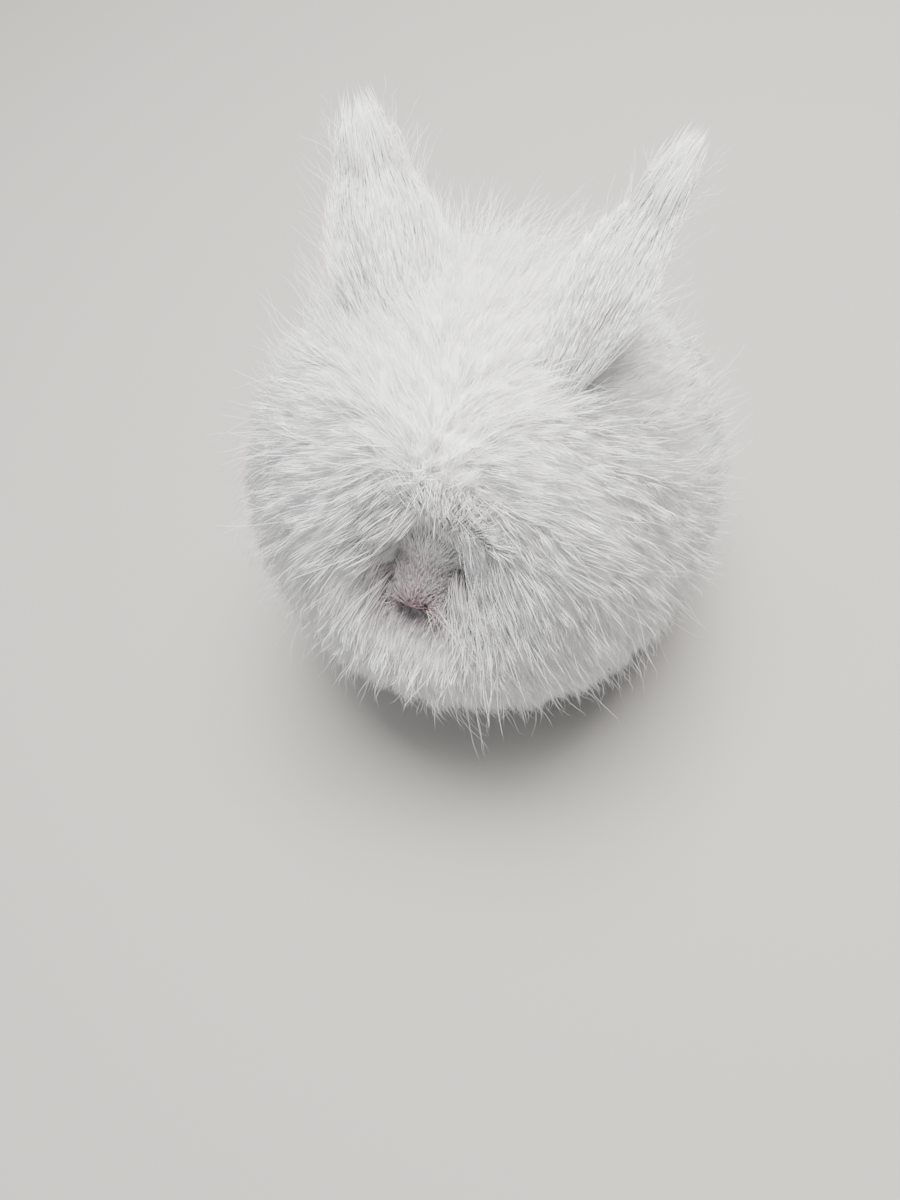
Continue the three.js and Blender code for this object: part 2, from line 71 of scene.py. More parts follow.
def newMaterial(name, **values):
    material = bpy.data.materials.new(name)
    material.use_nodes = True
    shader = material.node_tree.nodes["Principled BSDF"]
    for socket, value in values.items():
        shader.inputs[socket.replace("_", " ")].default_value = value
    return material, shader


def plug(material, output, target):
    material.node_tree.links.new(output, target)


def deselectAll():
    if bpy.context.object and bpy.context.object.mode != "OBJECT":
        bpy.ops.object.mode_set(mode="OBJECT")
    bpy.ops.object.select_all(action="DESELECT")


def only(item):
    # makes this the one selected and active object
    deselectAll()
    item.select_set(True)
    bpy.context.view_layer.objects.active = item


def editWhole(item, *steps):
    # runs operators, each with its settings, on the whole mesh
    only(item)
    bpy.ops.object.mode_set(mode="EDIT")
    for step, settings in steps:
        bpy.ops.mesh.select_all(action="SELECT")
        step(**settings)
    bpy.ops.object.mode_set(mode="OBJECT")


def readAll(collection, key, width=3, kind=float):
    values = np.empty(len(collection) * width, kind)
    collection.foreach_get(key, values)
    return values.reshape(-1, width) if width > 1 else values


def paint(item, material):
    item.data.materials.clear()
    item.data.materials.append(material)


def unit(v):
    return v / np.maximum(np.linalg.norm(v, axis=-1, keepdims=True), 1e-9)


def smoothstep(low, high, x):
    t = np.clip((x - low) / (high - low), 0, 1)
    return t * t * (3 - 2 * t)


# Where the animal stands in the shared frame. Everything below is worked out in millimetres in the
# animal's own frame: it faces -Y, +X is its left, and its ball of wool stands over the origin

pose = {
    "headShift": 13.6,
    "headTurn": math.radians(-6.5),
    "eye": (19.0, -53.4, 177.6),  # in the head's own frame
    "eyeRadius": 7.6,
    "muzzle": (-6.0, -8.0, -10.0),  # the muzzle is held low and a little to its right
    "noseTip": (-6.0, -96.6, 150.0),
    "headMiddle": (0.0, -38.0, 172.0),
    "whorl": (0.0, -58.0, 206.0),
}
turnCos, turnSin = math.cos(pose["headTurn"]), math.sin(pose["headTurn"])
headTurn = np.array([[turnCos, -turnSin, 0], [turnSin, turnCos, 0], [0, 0, 1]])
headShift = np.array([pose["headShift"], 0, 0])


def headToBody(p):
    return np.asarray(p) @ headTurn.T + headShift


eyeLow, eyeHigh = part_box("eye_left")
standsAt = np.array((eyeLow + eyeHigh) / 2) / mm - headToBody(pose["eye"])


def toFrame(p):
    return (np.asarray(p) + standsAt) * mm


# Camera as in the photograph: a phone held over the rabbit, rolled a little

camera = {
    "place": (138.9, -257.5, 516.0),
    "forward": (-0.2948, 0.4057, -0.8652),
    "up": (-0.2017, 0.8586, 0.4714),
    "lens": 27.09,
}
camData = bpy.data.cameras.new("camera")
camData.lens = camera["lens"]
camData.sensor_width = 36
camData.clip_start = 0.01
camObject = bpy.data.objects.new("camera", camData)
bpy.context.scene.collection.objects.link(camObject)
back = -Vector(camera["forward"]).normalized()
right = Vector(camera["up"]).cross(back).normalized()
upward = back.cross(right)
camObject.matrix_world = Matrix.Translation(Vector(toFrame(camera["place"]))) @ Matrix((
    (right.x, upward.x, back.x), (right.y, upward.y, back.y), (right.z, upward.z, back.z),
)).to_4x4()
bpy.context.scene.camera = camObject

# Pale floor and soft studio light

studio = {
    "floor": 6.0, "floorColour": "#AAA69F", "sky": "#EAEFF6", "skyStrength": 0.62, "lampsAim": (0, 0, 0.12),
}
deselectAll()
bpy.ops.mesh.primitive_plane_add(size=studio["floor"], location=(0, 0, 0))
floor = bpy.context.object
floor.name = "floor"
floorPaint, floorShader = newMaterial("painted studio floor", Roughness=0.8)
floorShader.inputs["Base Color"].default_value = srgb(studio["floorColour"])
floor.data.materials.append(floorPaint)

world = bpy.data.worlds.new("studio")
world.use_nodes = True
world.node_tree.nodes["Background"].inputs["Color"].default_value = srgb(studio["sky"])
world.node_tree.nodes["Background"].inputs["Strength"].default_value = studio["skyStrength"]
bpy.context.scene.world = world

lamps = [
    {"name": "key", "place": (0.12, 0.3, 1.7), "power": 100, "size": 1.1, "colour": "#FFFEFB"},
    {"name": "fill", "place": (-1.1, -0.9, 1.0), "power": 5, "size": 1.4, "colour": "#EEF3FF"},
]
for lamp in lamps:
    light = bpy.data.lights.new(lamp["name"], "AREA")
    light.energy = lamp["power"]
    light.size = lamp["size"]
    light.color = srgb(lamp["colour"])[:3]
    lightObject = bpy.data.objects.new(lamp["name"], light)
    lightObject.location = lamp["place"]
    aim = Vector(studio["lampsAim"]) - lightObject.location
    lightObject.rotation_euler = aim.to_track_quat("-Z", "Y").to_euler()
    bpy.context.scene.collection.objects.link(lightObject)
print("camera, floor and lights are in place")


# Skin: one body under the wool, grown together from round swellings

body = {
    "voxel": 2.0,
    "melts": 14,  # smoothing steps that melt the swellings into each other
    "sole": 0.3,
    "torso": [
        # middle, radii, tilt about X
        ((0, 30, 106), (74, 98, 78), 0),
        ((0, 66, 92), (76, 62, 72), 0),
        ((0, -28, 112), (50, 46, 58), 0),
        ((0, -22, 148), (34, 40, 38), -0.6),
        ((44, 42, 74), (34, 52, 50), 0.3),
        ((-44, 42, 74), (34, 52, 50), 0.3),
        ((0, 128, 70), (19, 27, 19), 0.5),
    ],
    "head": [
        ((0, -36, 178), (28, 40, 26), 20),
        ((12, -46, 166), (18, 26, 21), 20),
        ((-12, -46, 166), (18, 26, 21), 20),
        ((-3, -64, 168), (16, 20, 15), 28),
        ((-5, -74, 156.5), (14.5, 20, 13.5), 26),
        ((0.5, -86, 149), (8.2, 9.2, 8), 0),
        ((-12.5, -86, 149), (8.2, 9.2, 8), 0),
        ((-6, -88.6, 151.5), (7.5, 8, 7), 0),
        ((-6, -76, 138), (8, 13, 7), 20),
        ((17, -57, 183), (9, 8, 5), 20),
        ((-17, -57, 183), (9, 8, 5), 20),
    ],
}
legs = {
    # limb, foot and toes of the left side; the right side is their mirror image
    "front": {"limb": ((27, -46, 54), (13, 15, 42), -17), "paw": (30, -54), "length": 34, "height": 15},
    "hind": {"limb": ((52, 34, 52), (24, 42, 38), 20), "paw": (50, -6), "length": 88, "height": 17},
    "width": 22,
    "toes": (-1.5, -0.5, 0.5, 1.5),
}


def addEgg(middle, radii, tilt=0.0, inHead=False):
    bpy.ops.mesh.primitive_uv_sphere_add(segments=40, ring_count=24, radius=1)
    egg = bpy.context.object
    egg.data.transform(Matrix.Diagonal((*radii, 1)))
    egg.data.transform(Matrix.Rotation(math.radians(tilt), 4, "X"))
    egg.data.transform(Matrix.Translation(middle))
    if inHead:
        egg.data.transform(Matrix.Translation(headShift) @ Matrix(headTurn.tolist()).to_4x4())
    egg.data.transform(Matrix.Scale(mm, 4) @ Matrix.Translation(standsAt))
    egg.select_set(False)
    return egg


def joinAll(objects, name):
    deselectAll()
    for item in objects:
        item.select_set(True)
    bpy.context.view_layer.objects.active = objects[0]
    bpy.ops.object.join()
    objects[0].name = name
    return objects[0]


def applyAll(item):
    only(item)
    for modifier in list(item.modifiers):
        bpy.ops.object.modifier_apply(modifier=modifier.name)


deselectAll()
eggs = [addEgg(m, r, math.degrees(t)) for m, r, t in body["torso"]]
eggs += [addEgg(m, r, t, inHead=True) for m, r, t in body["head"]]
for leg in (legs["front"], legs["hind"]):
    for side in (1, -1):
        middle, radii, tilt = leg["limb"]
        eggs.append(addEgg((side * middle[0], middle[1], middle[2]), radii, tilt))
        pawX, pawY = leg["paw"]
        eggs.append(addEgg(
            (side * pawX, pawY + leg["length"] * 0.06, leg["height"] * 0.42),
            (legs["width"] / 2, leg["length"] / 2, leg["height"] * 0.95),
        ))
        for toe in legs["toes"]:
            toeX = side * (pawX + toe * legs["width"] * 0.23)
            toeY = pawY - leg["length"] / 2 + abs(toe)
            eggs.append(addEgg((toeX, toeY, 4.4), (2.8, 8, 4.6)))
skin = joinAll(eggs, "skin")
remesh = skin.modifiers.new("remesh", "REMESH")
remesh.mode = "VOXEL"
remesh.voxel_size = body["voxel"] * mm
melt = skin.modifiers.new("melt", "SMOOTH")
melt.iterations = body["melts"]
applyAll(skin)
unwrap = (bpy.ops.uv.smart_project, {"angle_limit": math.radians(66), "island_margin": 0.004})


def levelCut(height):
    # takes off what is below a height in millimetres
    return bpy.ops.mesh.bisect, {
        "plane_co": (0, 0, height * mm), "plane_no": (0, 0, 1), "use_fill": True, "clear_inner": True,
    }


editWhole(skin, levelCut(body["sole"]))
print("skin:", len(skin.data.polygons), "faces")


def finished(item, rideOn="root"):
    only(item)
    bpy.ops.object.shade_smooth()
    item.select_set(False)
    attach(item, rideOn)
    return item


def cut(item, cutter):
    difference = item.modifiers.new("cut", "BOOLEAN")
    difference.operation = "DIFFERENCE"
    difference.object = cutter
    applyAll(item)
    bpy.data.objects.remove(cutter)


def nearestOn(item):
    return BVHTree.FromObject(item, bpy.context.evaluated_depsgraph_get())


# Nostrils, the cleft under the nose and the line of the mouth, all cut into the muzzle

face = {
    "cleft": {"points": ((0, 160), (0, 155), (0, 151), (0, 147.5)), "width": 1.1},
    "mouthLeft": {"points": ((0, 150.5), (5, 148), (11, 147), (17, 150)), "width": 1.0},
    "mouthRight": {"points": ((0, 150.5), (-5, 148), (-11, 147), (-17, 150)), "width": 1.0},
    "nostrilLeft": {"points": ((1.2, 157.4), (3.8, 158.2), (7, 160.4), (10, 163.4)), "width": 1.3},
    "nostrilRight": {"points": ((-1.2, 157.4), (-3.8, 158.2), (-7, 160.4), (-10, 163.4)), "width": 1.3},
}
skinTree = nearestOn(skin)


def onFace(x, z):
    aim = headToBody((x + pose["muzzle"][0], pose["noseTip"][1], z + pose["muzzle"][2]))
    start = toFrame(headToBody(pose["headMiddle"]))
    way = Vector(toFrame(aim) - start).normalized()
    hit = skinTree.ray_cast(Vector(start) + way * 0.12, -way)[0]
    return hit


facePoints = []
for line in face.values():
    curve = bpy.data.curves.new("groove", "CURVE")
    curve.dimensions = "3D"
    curve.bevel_depth = line["width"] * mm
    curve.bevel_resolution = 3
    curve.use_fill_caps = True
    spline = curve.splines.new("BEZIER")
    hits = [onFace(x, z) for x, z in line["points"]]
    facePoints += [((np.array(hit) / mm) - standsAt, line["width"]) for hit in hits]
    spline.bezier_points.add(len(hits) - 1)
    for point, hit in zip(spline.bezier_points, hits):
        point.co = hit
        point.handle_left_type = point.handle_right_type = "AUTO"
    groove = bpy.data.objects.new("groove", curve)
    bpy.context.scene.collection.objects.link(groove)
    only(groove)
    bpy.ops.object.convert(target="MESH")
    cut(skin, groove)

# Eye sockets with lids

lids = {"tube": 1.5, "reach": 0.93, "sink": 0.42, "room": 0.35}
eyes = {}
for name, side in (("eye_left", 1), ("eye_right", -1)):
    middle = headToBody((side * pose["eye"][0], pose["eye"][1], pose["eye"][2]))
    outward = Vector(headTurn @ unit(np.array([side, -0.3, 0.14])))
    deselectAll()
    bpy.ops.mesh.primitive_torus_add(
        major_segments=48, minor_segments=16,
        major_radius=pose["eyeRadius"] * lids["reach"] * mm, minor_radius=lids["tube"] * mm,
    )
    lid = bpy.context.object
    lid.data.transform(Matrix.Diagonal((1.0, 0.8, 1.25, 1)))
    lid.data.transform(outward.to_track_quat("Z", "Y").to_matrix().to_4x4())
    lidMiddle = middle + np.array(outward) * pose["eyeRadius"] * lids["sink"]
    lid.data.transform(Matrix.Translation(toFrame(lidMiddle)))
    grow = skin.modifiers.new("lid", "BOOLEAN")
    grow.operation = "UNION"
    grow.object = lid
    applyAll(skin)
    bpy.data.objects.remove(lid)
    deselectAll()
    bpy.ops.mesh.primitive_uv_sphere_add(
        segments=48, ring_count=32, radius=(pose["eyeRadius"] + lids["room"]) * mm)
    socket = bpy.context.object
    socket.data.transform(Matrix.Translation(toFrame(middle)))
    cut(skin, socket)
    eyes[name] = {"middle": middle, "outward": outward}
soften = skin.modifiers.new("soften", "SMOOTH")
soften.iterations = 2
soften.factor = 0.35
applyAll(skin)
editWhole(skin, unwrap)
finished(skin)
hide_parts("head", "neck", "torso", "tail",
            "front_leg_left", "front_leg_right", "hind_leg_left", "hind_leg_right")
print("skin cut and unwrapped:", len(skin.data.polygons), "faces")


# Eyes: a wet ball with the ruby iris of a white rabbit

for name, eye in eyes.items():
    deselectAll()
    bpy.ops.mesh.primitive_uv_sphere_add(segments=64, ring_count=40, radius=pose["eyeRadius"] * mm)
    ball = bpy.context.object
    ball.name = name + "_ball"
    bpy.ops.object.mode_set(mode="EDIT")
    bpy.ops.mesh.select_all(action="DESELECT")
    bpy.ops.object.mode_set(mode="OBJECT")
    for vertex in ball.data.vertices:
        vertex.select = vertex.co.z > pose["eyeRadius"] * 0.72 * mm
    bpy.ops.object.mode_set(mode="EDIT")
    bpy.ops.transform.translate(value=(0, 0, 0.25 * mm), use_proportional_edit=True,
                                proportional_size=4 * mm, proportional_edit_falloff="SMOOTH")
    bpy.ops.object.mode_set(mode="OBJECT")
    spread = np.degrees(np.arccos(np.clip(unit(readAll(ball.data.vertices, "co"))[:, 2], -1, 1)))
    angle = ball.data.attributes.new("angle", "FLOAT", "POINT")
    angle.data.foreach_set("value", spread / 90)
    ball.data.transform(eye["outward"].to_track_quat("Z", "Y").to_matrix().to_4x4())
    ball.data.transform(Matrix.Translation(toFrame(eye["middle"])))
    finished(ball)
    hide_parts(name)
    eye["piece"] = ball


# Ears: a thin leather cup on a rooted stem, opening outward and down, its furred back to the front

ear = {
    "root": (26, -18, 200), "bend": (50, 20, 244), "tip": (66, 46, 277),
    "width": 44, "leather": 1.7,
    "opening": (0.6, 0.43, -0.67),
    "widths": ((0, 0.36), (0.2, 0.62), (0.42, 0.98), (0.6, 1), (0.8, 0.74), (0.93, 0.4), (1, 0.14)),
    "rows": 44, "columns": 22,
}
earDirection = unit(np.subtract(ear["tip"], ear["root"]).astype(float))
earOpening = np.array(ear["opening"])
earOpening = unit(earOpening - earDirection * (earOpening @ earDirection))
earAcross = np.cross(earDirection, earOpening)


def earMiddle(t):
    a, b, c = (np.array(ear[key], float) for key in ("root", "bend", "tip"))
    t = np.asarray(t)[..., None]
    return (1 - t) ** 2 * a + 2 * t * (1 - t) * b + t ** 2 * c


def earHalf(t):
    places, widths = zip(*ear["widths"])
    fine = np.linspace(0, 1, 201)
    smooth = np.convolve(np.pad(np.interp(fine, places, widths), 8, mode="edge"), np.ones(17) / 17, "valid")
    return ear["width"] / 2 * np.interp(t, fine, smooth)


def earSurface(t, s):
    half = earHalf(t)[..., None]
    cup = half * (0.72 - 0.3 * np.asarray(t)[..., None])
    s = np.asarray(s)[..., None]
    return earMiddle(t) + earAcross * half * s - earOpening * cup * (1 - s * s)


ears = {}
for name, side in (("ear_left", 1), ("ear_right", -1)):
    deselectAll()
    bpy.ops.mesh.primitive_grid_add(x_subdivisions=ear["columns"], y_subdivisions=ear["rows"], size=2)
    leaf = bpy.context.object
    leaf.name = name + "_leather"
    flat = readAll(leaf.data.vertices, "co")
    s, t = flat[:, 0], (flat[:, 1] + 1) / 2
    shaped = earSurface(t, s)
    shaped += earOpening * (0.5 * np.sin(9 * t + 2 * s) * (1 - s * s))[:, None]
    shaped[:, 0] *= side
    leaf.data.vertices.foreach_set("co", toFrame(headToBody(shaped)).ravel())
    leaf.data.update()
    if side < 0:
        editWhole(leaf, (bpy.ops.mesh.flip_normals, {}))
    wall = leaf.modifiers.new("wall", "SOLIDIFY")
    wall.thickness = ear["leather"] * mm
    wall.offset = 0
    rounder = leaf.modifiers.new("round", "SUBSURF")
    rounder.levels = rounder.render_levels = 1
    applyAll(leaf)
    inside = leaf.data.attributes.new("inside", "FLOAT", "POINT")
    facing = readAll(leaf.data.vertices, "normal") @ (headTurn @ (earOpening * np.array([side, 1, 1])))
    inside.data.foreach_set("value", smoothstep(0.0, 0.5, facing))
    finished(leaf)
    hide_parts(name)
    ears[name] = {"piece": leaf, "side": side}


# Claws: short horn hooks at the ends of the toes

claw = {"length": 8, "thick": 1.5, "rings": 6}
clawPieces = []
for leg in (legs["front"], legs["hind"]):
    for side in (1, -1):
        for toe in legs["toes"]:
            toeX = side * (leg["paw"][0] + toe * legs["width"] * 0.23)
            toeY = leg["paw"][1] - leg["length"] / 2 + abs(toe) - 4
            deselectAll()
            bpy.ops.mesh.primitive_cone_add(
                vertices=12, radius1=claw["thick"] * mm, radius2=0.15 * mm, depth=claw["length"] * mm)
            hook = bpy.context.object
            editWhole(hook, (bpy.ops.mesh.subdivide, {"number_cuts": claw["rings"]}))
            points = readAll(hook.data.vertices, "co") / mm
            along = (points[:, 2] + claw["length"] / 2) / claw["length"]
            bent = np.stack([
                toeX + points[:, 0] * 0.8,
                toeY - along * claw["length"] * 0.95,
                4.6 + points[:, 1] + 0.6 * along - 3.8 * along ** 2,
            ], axis=1)
            hook.data.vertices.foreach_set("co", toFrame(bent).ravel())
            hook.data.update()
            clawPieces.append(hook)
claws = joinAll(clawPieces, "claws")
editWhole(claws, (bpy.ops.mesh.normals_make_consistent, {"inside": False}))
finished(claws)
print("eyes, ears and claws are modelled")


# Tufts: thin tapered hairs of three sides, as joined meshes

skinTree = nearestOn(skin)
skinFaces = skin.data.polygons
skinUv = readAll(skin.data.uv_layers[0].data, "uv", 2)[readAll(skinFaces, "loop_start", 1, int)]
skinArea = readAll(skinFaces, "area", 1)
skinMiddle = readAll(skinFaces, "center") / mm - standsAt
skinNormal = readAll(skinFaces, "normal")


def rootsBelow(points):
    found = [skinTree.find_nearest(Vector(p)) for p in toFrame(points)]
    places = np.array([f[0] for f in found]) / mm - standsAt
    return places, skinNormal[[f[2] for f in found]], skinUv[[f[2] for f in found]]


def rootsOn(weights, count):
    share = skinArea * weights
    chosen = random.choice(len(share), count, p=share / share.sum())
    jitter = random.normal(0, 0.5, (count, 3))
    jitter -= skinNormal[chosen] * (jitter * skinNormal[chosen]).sum(1, keepdims=True)
    return skinMiddle[chosen] + jitter, skinNormal[chosen], skinUv[chosen]


def turned(vectors, axes, angles):
    angles = np.asarray(angles)[:, None]
    return vectors * np.cos(angles) + np.cross(axes, vectors) * np.sin(angles)


tuftPatch = 0.003  # width of a tuft's place in its colour map


def tuftMesh(name, material, tufts, fullness=((0, 0.6), (0.42, 1.0), (0.78, 0.75))):
    root, bend, tip, width, uv, toneAndDepthShade = (tufts[k] for k in ("root", "bend", "tip", "width", "uv", "toneAndDepthShade"))
    count, rings = len(root), len(fullness)
    root, bend, tip = (p[:, None, :] for p in (root, bend, tip))
    t = np.array([f[0] for f in fullness])[None, :, None]
    centre = (1 - t) ** 2 * root + 2 * t * (1 - t) * bend + t ** 2 * tip
    along = unit(2 * (1 - t) * (bend - root) + 2 * t * (tip - bend))
    steady = unit(np.cross(tip - root, bend - root + 1e-3))
    wave = tufts.get("wave", 0)
    phase = random.uniform(0, 6.28, (count, 1, 1))
    swing = np.sin(phase + 5.5 * t) * t * wave
    centre = centre + steady * swing
    side = unit(steady - along * (steady * along).sum(-1, keepdims=True))
    other = np.cross(along, side)
    radius = (width[:, None, None] / 2) * np.array([f[1] for f in fullness])[None, :, None]
    corners = []
    for angle in (math.pi / 2, math.pi * 7 / 6, math.pi * 11 / 6):
        corners.append(centre + radius * (math.cos(angle) * side + math.sin(angle) * other))
    ringPoints = np.stack(corners, axis=2).reshape(count, rings * 3, 3)
    points = np.concatenate([ringPoints, tip], axis=1)
    points[..., 2] = np.maximum(points[..., 2], 0.4)
    perTuft = rings * 3 + 1
    pattern = [(2, 1, 0)]
    for k in range(rings - 1):
        for i in range(3):
            j = (i + 1) % 3
            pattern.append((3 * k + i, 3 * k + j, 3 * k + 3 + j, 3 * k + 3 + i))
    for i in range(3):
        pattern.append((3 * rings - 3 + i, 3 * rings - 3 + (i + 1) % 3, 3 * rings))
    loops = np.array([v for f in pattern for v in f])
    sizes = np.array([len(f) for f in pattern])
    allLoops = (loops[None, :] + perTuft * np.arange(count)[:, None]).ravel()
    allSizes = np.tile(sizes, count)
    mesh = bpy.data.meshes.new(name)
    mesh.vertices.add(count * perTuft)
    mesh.vertices.foreach_set("co", toFrame(points.reshape(-1, 3)).ravel())
    mesh.loops.add(len(allLoops))
    mesh.loops.foreach_set("vertex_index", allLoops)
    mesh.polygons.add(len(allSizes))
    mesh.polygons.foreach_set("loop_start", np.concatenate([[0], np.cumsum(allSizes)[:-1]]))
    mesh.polygons.foreach_set("use_smooth", np.ones(len(allSizes), bool))
    mesh.update(calc_edges=True)
    ringOf = np.append(np.repeat(np.arange(rings), 3), rings) / rings
    sideOf = np.append(np.tile(np.arange(3), rings), 1) / 2
    offset = np.stack([sideOf, ringOf], axis=1) - 0.5
    base = tuftPatch + uv * (1 - 2 * tuftPatch)
    uvPoints = base[:, None, :] + offset[None, :, :] * tuftPatch
    layer = mesh.uv_layers.new(name="OFBake")
    layer.data.foreach_set("uv", uvPoints.reshape(-1, 2)[allLoops].ravel())
    # The tone attribute holds a random tone per tuft; on the wool it also holds painted shade, darker for
    # tufts that end deeper in the coat
    shade = mesh.attributes.new("toneAndDepthShade", "FLOAT", "POINT")
    shade.data.foreach_set("value", np.repeat(toneAndDepthShade, perTuft))
    reach = mesh.attributes.new("reach", "FLOAT", "POINT")
    reach.data.foreach_set("value", np.tile(ringOf, count))
    mesh.materials.append(material)
    piece = bpy.data.objects.new(name, mesh)
    bpy.context.scene.collection.objects.link(piece)
    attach(piece, "root")
    triangles = count * ((rings - 1) * 6 + 4)
    print(name + ":", count, "tufts,", triangles, "triangles")
    return piece


# Wool: tufts end evenly on the outside of the coat and are rooted on the skin below

wool = {
    "eggs": [
        # middle, radii of the outside of the coat
        ((0, 0, 126), (126, 126, 126)),
        ((0, 38, 101), (116, 120, 99)),
        ((0, 22, 30), (106, 116, 60)),
        ((0, 128, 70), (33, 36, 35)),
    ],
    "melt": 7,  # rounds off the folds between the swellings
    "count": 64000,
    "tries": 3.4,
    "onBody": 0.78,  # how dense the wool is beyond the head, and where it nears the ground
    "nearGround": 0.8,
    "length": (38, 58),
    "lift": (8, 30),  # degrees that the outer half of a tuft stands off the coat
    "width": (0.3, 0.64),
    "perClump": 15,
    "gather": 0.42,  # how far the tips of a clump are drawn together
    "clumpTurn": 0.17,
    "tuftTurn": 0.1,
    "pointAhead": 7,  # the tips of a clump are drawn to a point this far ahead of it
    "rise": 1.7,
    "deeper": 2.6,
    "steep": 60,  # degrees at which the inner half of a tuft goes down to the skin
    "stray": 0.035,
    "strayOut": (2, 9),
    "strayWidth": 0.36,
    "ground": 1.2,
}
pit = {
    # an open cone in front of the nose, and the funnel in which the coat dips towards it
    "back": 19, "axis": (0.19, -0.70, 0.69), "angle": 32, "below": 12, "bare": 21,
    "dip": 25, "dipFrom": 68, "dipTo": 22,
    # wool that leaves the pit stands up at its edge and is shorter; what crosses the cone is left out
    "stand": 46, "standFrom": 52, "standTo": 24, "shorter": 0.5, "shorterInDip": 0.3,
    "middlesClear": 5, "bendsClear": 9, "throat": (0, 25, -38),
}
headCentre = headToBody((0, -40, 190))
noseAt = headToBody(pose["noseTip"])
whorlAt = headToBody(pose["whorl"])
pitAxis = unit(np.array(pit["axis"]))
pitApex = noseAt - pitAxis * pit["back"]
pitDown = unit(pitAxis * pitAxis[2] - np.array([0, 0, 1]))


def fromEgg(points, egg):
    # how far outside an egg each point is, and the way out
    middle, radii = egg
    away = points - np.array(middle)
    size = np.linalg.norm(away / np.array(radii), axis=1)
    return (1 - 1 / size) * np.linalg.norm(away, axis=1), unit(away / np.array(radii) ** 2)


def fromCoat(points):
    gaps, ways = zip(*(fromEgg(points, egg) for egg in wool["eggs"]))
    shares = np.exp(-np.array(gaps) / wool["melt"])
    total = shares.sum(0)
    way = unit((np.array(ways) * (shares / total)[..., None]).sum(0))
    return -wool["melt"] * np.log(total), way


def pitTurn(points):
    # degrees from the middle line of the pit, and the way straight out from that line
    away = unit(points - pitApex)
    across = unit(away - pitAxis * (away @ pitAxis)[:, None])
    return np.degrees(np.arccos(np.clip(away @ pitAxis, -1, 1))), across


def pitEdge(points):
    return pit["angle"] - pit["below"] * np.clip(pitTurn(points)[1] @ pitDown, 0, 1)


def inPit(points, wider=0.0):
    return pitTurn(points)[0] < pitEdge(points) + wider


def dipAt(points):
    return pit["dip"] * smoothstep(pit["dipFrom"], pit["dipTo"], pitTurn(points)[0])


def flowAt(points, normals):
    sign = np.tanh(points[:, :1] / 15)
    fromWhorl = unit(points - whorlAt) + np.array([0, -0.1, -0.3])
    breast = sign * np.array([[0.2, 0, 0]]) + np.array([0, -0.15, -1])
    flank = sign * np.array([[0.2, 0, 0]]) + np.array([0, 0.75, -0.5])
    backward = smoothstep(-60, 0, points[:, 1])[:, None]
    torso = breast * (1 - backward) + flank * backward
    head = 1 - smoothstep(75, 125, np.linalg.norm(points - headCentre, axis=1))[:, None]
    tail = 1 - smoothstep(2, 14, fromEgg(points, wool["eggs"][3])[0])[:, None]
    flow = head * fromWhorl + (1 - head) * torso
    flow = flow * (1 - tail) + np.array([0, 0.6, 0.7]) * tail
    flow = flow - normals * (flow * normals).sum(1, keepdims=True)
    waves = 0.2 * np.sin(points @ np.array([0.071, 0.043, 0.055]) + 1.3)
    waves += 0.16 * np.sin(points @ np.array([-0.09, 0.12, 0.083]) + 4.1)
    return turned(unit(flow), normals, waves)


def coatEnds(tries):
    # places spread evenly over the outside of the coat
    parts = []
    for middle, radii in wool["eggs"]:
        a, b, c = radii
        area = (((a * b) ** 1.6 + (a * c) ** 1.6 + (b * c) ** 1.6) / 3) ** (1 / 1.6)
        ways = unit(random.normal(size=(int(tries * area / 40000), 3)))
        stretch = np.linalg.norm(ways / np.array(radii), axis=1)
        ways = ways[random.uniform(size=len(ways)) < stretch / stretch.max()]
        parts.append(ways * np.array(radii) + np.array(middle))
    points = np.concatenate(parts)
    points = points[np.all([fromEgg(points, egg)[0] > -1e-6 for egg in wool["eggs"]], axis=0)]
    for _ in range(3):
        gap, way = fromCoat(points)
        points = points - way * gap[:, None]
    points = points[points[:, 2] > wool["ground"]]
    return points[random.permutation(len(points))]


ends = coatEnds(wool["count"] * wool["tries"])
outs = fromCoat(ends)[1]
weight = np.where(ends[:, 2] < 12, wool["nearGround"], 1.0)
weight *= np.where(np.linalg.norm(ends - headCentre, axis=1) < 105, 1.0, wool["onBody"])
keep = (random.uniform(size=len(ends)) < weight) & ~inPit(ends)
print("places on the coat:", keep.sum())
ends, outs = ends[keep][:wool["count"]], outs[keep][:wool["count"]]
clumps = ends[::wool["perClump"]]
tree = KDTree(len(clumps))
for i, point in enumerate(clumps):
    tree.insert(Vector(point), i)
tree.balance()
clumpOf = np.array([tree.find(Vector(p))[1] for p in ends])
clumpTurn = random.normal(0, wool["clumpTurn"], len(clumps))
clumpRise = random.normal(0, wool["rise"], len(clumps))
across = pitTurn(ends)[1]
slope = unit(outs * (across * outs).sum(1, keepdims=True) - across)
steepness = dipAt(ends + slope) - dipAt(ends)
dip = dipAt(ends)
clumps = clumps - fromCoat(clumps)[1] * dipAt(clumps)[:, None]
ends = ends - outs * dip[:, None]
outs = unit(outs + slope * steepness[:, None])
flow = flowAt(ends, outs)
flow = turned(flow, outs, clumpTurn[clumpOf] + random.normal(0, wool["tuftTurn"], len(ends)))
length = random.uniform(*wool["length"], len(ends))
lift = np.radians(random.uniform(*wool["lift"], len(ends)))[:, None]
leaving = np.clip(-(flow * slope).sum(1), 0, 1)
leaving = leaving * smoothstep(pit["standFrom"], pit["standTo"], pitTurn(ends)[0])
lift = lift + (math.radians(pit["stand"]) - lift) * leaving[:, None]
length = length * (1 - pit["shorter"] * leaving) * (1 - pit["shorterInDip"] * dip / pit["dip"])
clumpEnd = clumps[clumpOf] + flow * wool["pointAhead"]
gather = wool["gather"] * random.uniform(0.2, 1.0, len(ends))[:, None]
tips = ends + (clumpEnd - ends) * gather
deeper = -np.abs(random.normal(0, wool["deeper"], len(ends)))
stray = random.uniform(size=len(ends)) < wool["stray"]
